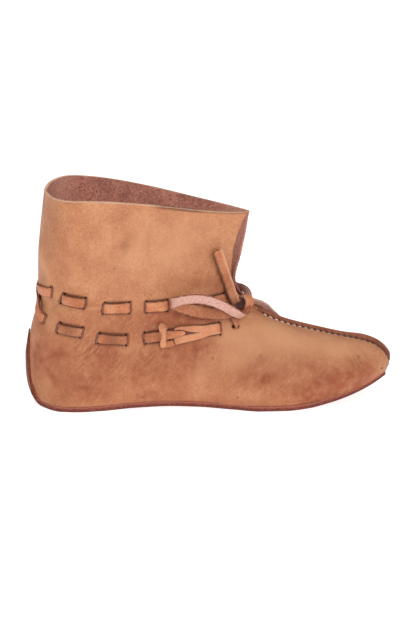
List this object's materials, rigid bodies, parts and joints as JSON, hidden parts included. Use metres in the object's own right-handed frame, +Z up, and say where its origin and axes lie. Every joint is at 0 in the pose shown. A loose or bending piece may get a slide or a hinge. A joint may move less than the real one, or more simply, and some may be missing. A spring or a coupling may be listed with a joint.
{
  "type": "turnshoe",
  "caption": "Soft leather ankle turnshoe: one-piece upper slit open in front, centre vamp seam, thin sole with a heel riser, and a thong woven round the ankle and tied in a bow.",
  "frame": {"origin": "under the middle of the shoe's box, on the floor, without the bow", "axes": "+X from the heel to the toe, +Z up; the inner side of the foot is -Y"},
  "size_m": [0.2876, 0.0918, 0.1698],
  "materials": {
    "upper_leather": "light tan vegetable tanned leather, smooth grain outside, brown flesh side inside",
    "sole_leather": "reddish brown cut edge, matt",
    "thong_leather": "tan grain on one face, pink flesh side on the other"
  },
  "bodies": {
    "root": {"upper": "upper_leather", "sole": "sole_leather", "thong_over": "thong_leather", "thong_under": "thong_leather", "join_tab": "thong_leather", "join_turn": "thong_leather", "bow_knot": "thong_leather", "bow_loop_long": "thong_leather", "bow_loop_short": "thong_leather", "bow_end_near": "thong_leather", "bow_end_far": "thong_leather"}
  },
  "joints": []
}
